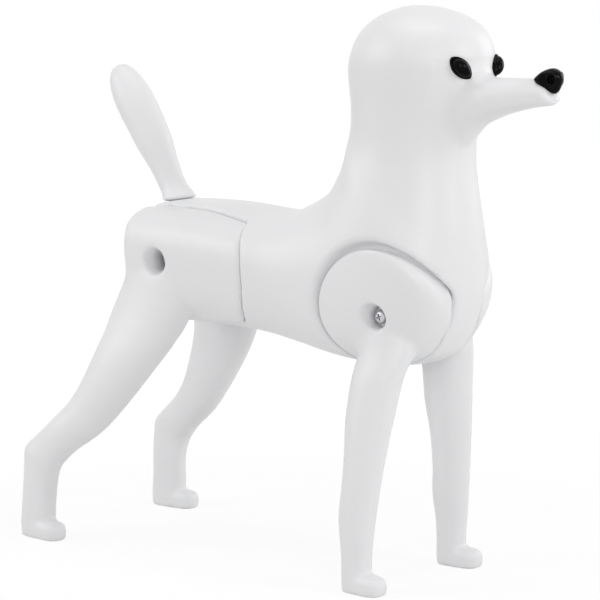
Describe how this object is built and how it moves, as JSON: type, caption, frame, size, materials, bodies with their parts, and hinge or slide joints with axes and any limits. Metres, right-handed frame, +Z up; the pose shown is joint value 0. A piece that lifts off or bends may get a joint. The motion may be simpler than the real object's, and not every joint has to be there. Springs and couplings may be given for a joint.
{
  "type": "jointed model dog",
  "caption": "Hollow moulded model dog, standing, with legs that swing on screws at the shoulders and hips, a plug-in tail that turns, and glossy black eyes and nose.",
  "frame": {"origin": "middle of the outline at the level of the soles", "axes": "+X towards the nose, +Y towards the left side of the dog, +Z up"},
  "size_m": [0.434, 0.1654, 0.4],
  "materials": {
    "white_plastic": "smooth moulded, satin gloss",
    "plain_plastic": "plain moulded",
    "grey_plastic": "plain moulded",
    "black_gloss": "polished",
    "steel": "zinc plated",
    "brass": "knurled insert, plain"
  },
  "bodies": {
    "torso": {"body_shell_right": "white_plastic", "body_shell_left": "white_plastic", "tail_bush": "grey_plastic", "eye_right": "black_gloss", "eye_left": "black_gloss", "eye_retainer_right": "plain_plastic", "eye_retainer_left": "plain_plastic", "nose": "black_gloss", "shoulder_screws": "steel", "hip_screws": "steel", "flat_washers": "steel", "spring_washers": "steel", "threaded_inserts": "brass", "dowels": "plain_plastic"},
    "front_right_leg": {"front_leg_right": "white_plastic"},
    "front_left_leg": {"front_leg_left": "white_plastic"},
    "hind_right_leg": {"hind_leg_right": "white_plastic"},
    "hind_left_leg": {"hind_leg_left": "white_plastic"},
    "tail": {"tail": "white_plastic", "tail_peg": "plain_plastic"}
  },
  "joints": [
    {"name": "shoulder_right", "type": "hinge", "parent": "torso", "child": "front_right_leg", "pos_m": [0.0965, -0.03, 0.19], "axis": [0, -1, 0], "range_deg": [-30, 30]},
    {"name": "shoulder_left", "type": "hinge", "parent": "torso", "child": "front_left_leg", "pos_m": [0.0965, 0.03, 0.19], "axis": [0, -1, 0], "range_deg": [-30, 30]},
    {"name": "hip_right", "type": "hinge", "parent": "torso", "child": "hind_right_leg", "pos_m": [-0.102, -0.033, 0.213], "axis": [0, -1, 0], "range_deg": [-30, 30]},
    {"name": "hip_left", "type": "hinge", "parent": "torso", "child": "hind_left_leg", "pos_m": [-0.102, 0.033, 0.213], "axis": [0, -1, 0], "range_deg": [-30, 30]},
    {"name": "tail_turn", "type": "hinge", "parent": "torso", "child": "tail", "pos_m": [-0.123, 0, 0.2524], "axis": [-0.1736, 0, 0.9848], "continuous": true}
  ]
}
